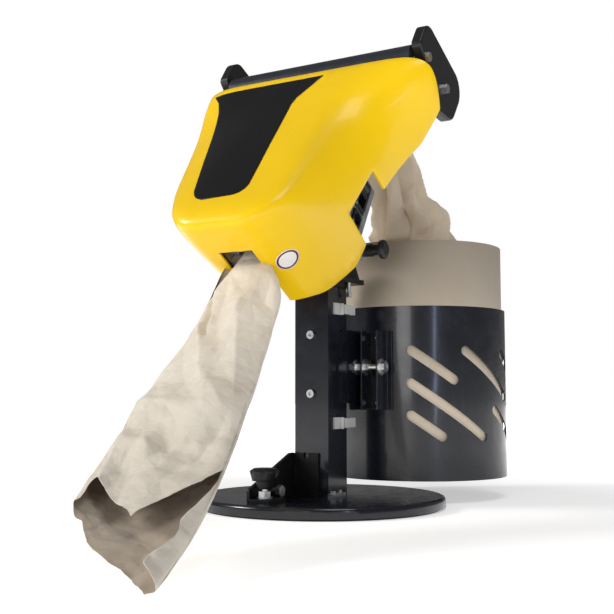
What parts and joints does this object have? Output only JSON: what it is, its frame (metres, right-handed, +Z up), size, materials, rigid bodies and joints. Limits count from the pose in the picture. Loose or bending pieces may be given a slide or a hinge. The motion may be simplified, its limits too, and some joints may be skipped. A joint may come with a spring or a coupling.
{
  "type": "paper void-fill dispenser",
  "caption": "Desk-top void-fill paper dispenser: hooded feed head that tilts on a square post, fed with crumpled paper from an upright roll in a slotted drum behind it.",
  "frame": {"origin": "centre of the round base's underside, on the table top", "axes": "+Z up, -Y the way the paper comes out, +X towards the side with the connectors and the tilt knob"},
  "size_m": [0.4564, 1.0778, 0.7475],
  "materials": {
    "black_gloss": "gloss",
    "black_satin": "satin",
    "hood_yellow": "gloss",
    "zinc": "satin",
    "bright_steel": "polished",
    "galvanised": "satin",
    "black_plastic": "matte",
    "grey_plastic": "matte",
    "rubber": "matte",
    "roller_grey": "satin",
    "kraft_paper": "matte",
    "gear_nylon": "satin",
    "brass": "satin",
    "board_green": "satin"
  },
  "bodies": {
    "stand": {"base_pad": "rubber", "base_plate": "black_gloss", "foot_gusset": "black_satin", "foot_front_plate": "black_satin", "foot_stud": "zinc", "foot_bolts": "zinc", "post_tube": "black_gloss", "post_cap_plate": "black_satin", "swivel_plate": "black_satin", "cable_clip_hinges": "grey_plastic", "cable_clips": "grey_plastic", "bracket_bolts": "zinc", "drum_bracket": "black_gloss", "drum_mount": "black_gloss", "drum_clamp_bolt": "zinc", "drum_screws": "zinc", "drum_shell": "black_gloss", "drum_floor": "black_satin", "paper_roll": "kraft_paper", "yoke_block": "black_satin", "tilt_ears": "black_satin", "tilt_pin": "zinc", "lock_screw": "zinc", "paper_feed": "kraft_paper"},
    "head": {"chassis_left": "galvanised", "chassis_right": "galvanised", "spacer_rods": "zinc", "funnel_left": "galvanised", "funnel_right": "galvanised", "guide_plate": "galvanised", "bearings": "bright_steel", "motor": "black_satin", "gearbox": "zinc", "motor_plate": "galvanised", "circuit_board": "board_green", "end_cap_left": "black_plastic", "end_cap_right": "black_plastic", "front_axle": "zinc", "rear_axle": "zinc", "cap_bolts": "bright_steel", "hood": "hood_yellow", "panel_plate": "galvanised", "mains_inlet": "black_plastic", "signal_socket": "black_plastic", "panel_screws": "zinc", "exit_cutters": "black_satin", "paper_strip": "kraft_paper"},
    "front_roller": {"front_roller": "roller_grey"},
    "rear_roller": {"rear_roller": "roller_grey"},
    "motor_output": {"motor_gear": "brass", "output_shaft": "bright_steel"},
    "drive": {"drive_gear": "gear_nylon", "drive_shaft": "bright_steel", "drive_wheels": "rubber"},
    "press": {"press_gear": "gear_nylon", "press_shaft": "bright_steel", "press_wheels": "rubber"},
    "tilt_knob": {"tilt_knob": "black_plastic"},
    "foot_knob": {"foot_knob": "black_plastic"},
    "power_switch": {"power_switch": "black_plastic"}
  },
  "joints": [
    {"name": "head_tilt", "type": "hinge", "parent": "stand", "child": "head", "pos_m": [0, 0.01, 0.402], "axis": [1, 0, 0], "range_deg": [-25, 0]},
    {"name": "front_roller_spin", "type": "hinge", "parent": "head", "child": "front_roller", "pos_m": [0, 0.00075, 0.69338], "axis": [1, 0, 0], "continuous": true},
    {"name": "rear_roller_spin", "type": "hinge", "parent": "head", "child": "rear_roller", "pos_m": [0, 0.07053, 0.66195], "axis": [1, 0, 0], "continuous": true},
    {"name": "drive_spin", "type": "hinge", "parent": "head", "child": "drive", "pos_m": [0, -0.12806, 0.39746], "axis": [1, 0, 0], "continuous": true},
    {"name": "press_spin", "type": "hinge", "parent": "head", "child": "press", "pos_m": [0, -0.18635, 0.43248], "axis": [1, 0, 0], "continuous": true},
    {"name": "motor_spin", "type": "hinge", "parent": "head", "child": "motor_output", "pos_m": [0, -0.06995, 0.42427], "axis": [1, 0, 0], "continuous": true},
    {"name": "power_rocker", "type": "hinge", "parent": "head", "child": "power_switch", "pos_m": [0.082, -0.01241, 0.49479], "axis": [0, 0.8572, -0.515], "range_deg": [-8, 8]},
    {"name": "tilt_knob_turn", "type": "hinge", "parent": "stand", "child": "tilt_knob", "pos_m": [0.09, 0.01, 0.402], "axis": [1, 0, 0], "continuous": true},
    {"name": "foot_knob_turn", "type": "hinge", "parent": "stand", "child": "foot_knob", "pos_m": [-0.015, -0.14, 0.05], "axis": [0, 0, 1], "continuous": true}
  ],
  "couplings": [
    {"joint": "press_spin", "follows": "drive_spin", "ratio": -1},
    {"joint": "motor_spin", "follows": "drive_spin", "ratio": -1.1333}
  ]
}
